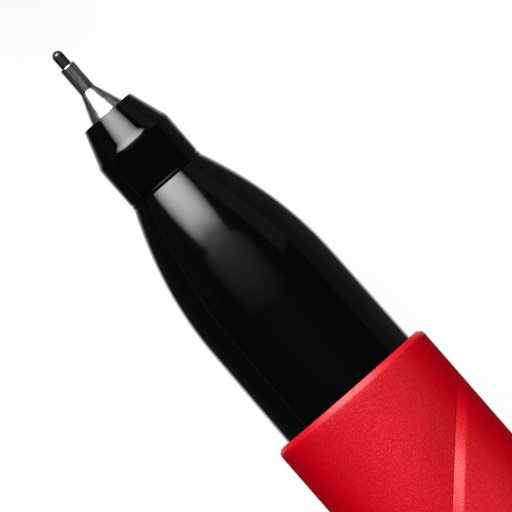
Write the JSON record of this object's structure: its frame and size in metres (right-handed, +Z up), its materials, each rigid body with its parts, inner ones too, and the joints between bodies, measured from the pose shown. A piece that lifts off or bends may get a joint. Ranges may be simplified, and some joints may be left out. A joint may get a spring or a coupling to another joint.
{
  "type": "dual tip marker",
  "caption": "Round felt marker with a metal-clad fine nib at one end and a broad chisel nib at the other, each under its own pull-off cap.",
  "frame": {"origin": "under the middle of the whole, marker and loose cap together, on the surface that it lies on", "axes": "+X along the marker from the fine end to the broad end, +Z up from the surface that it lies on, +Y to the side away from the clip"},
  "size_m": [0.1826, 0.0152, 0.0132],
  "materials": {
    "black_gloss": "high-gloss moulded black",
    "red_satin": "satin moulded red with a fine grain",
    "ferrule_metal": "drawn and polished, with faint lengthwise streaks",
    "nib_fibre": "porous nib wet with ink",
    "ink_fibre": "bonded fibre full of ink",
    "natural_plastic": "soft natural plastic",
    "clear_film": "thin clear film"
  },
  "bodies": {
    "marker": {"fine_nib": "nib_fibre", "fine_wick": "ink_fibre", "fine_ferrule": "ferrule_metal", "fine_nib_carrier": "natural_plastic", "fine_nose": "black_gloss", "barrel_core": "black_gloss", "outer_sleeve": "red_satin", "ink_reservoir": "ink_fibre", "reservoir_film": "clear_film", "broad_collar": "black_gloss", "broad_nib": "nib_fibre"},
    "fine_cap": {"fine_cap_shell": "black_gloss", "fine_cap_inner": "natural_plastic", "fine_cap_clip": "red_satin"},
    "broad_cap": {"broad_cap_shell": "black_gloss", "broad_cap_inner": "natural_plastic", "broad_cap_plug": "red_satin"}
  },
  "joints": [
    {"name": "fine_cap_slide", "type": "slide", "parent": "marker", "child": "fine_cap", "axis": [1, 0, 0], "range_m": [0, 0.0431]},
    {"name": "broad_cap_slide", "type": "slide", "parent": "marker", "child": "broad_cap", "axis": [1, 0, 0], "range_m": [0, 0.045]}
  ]
}
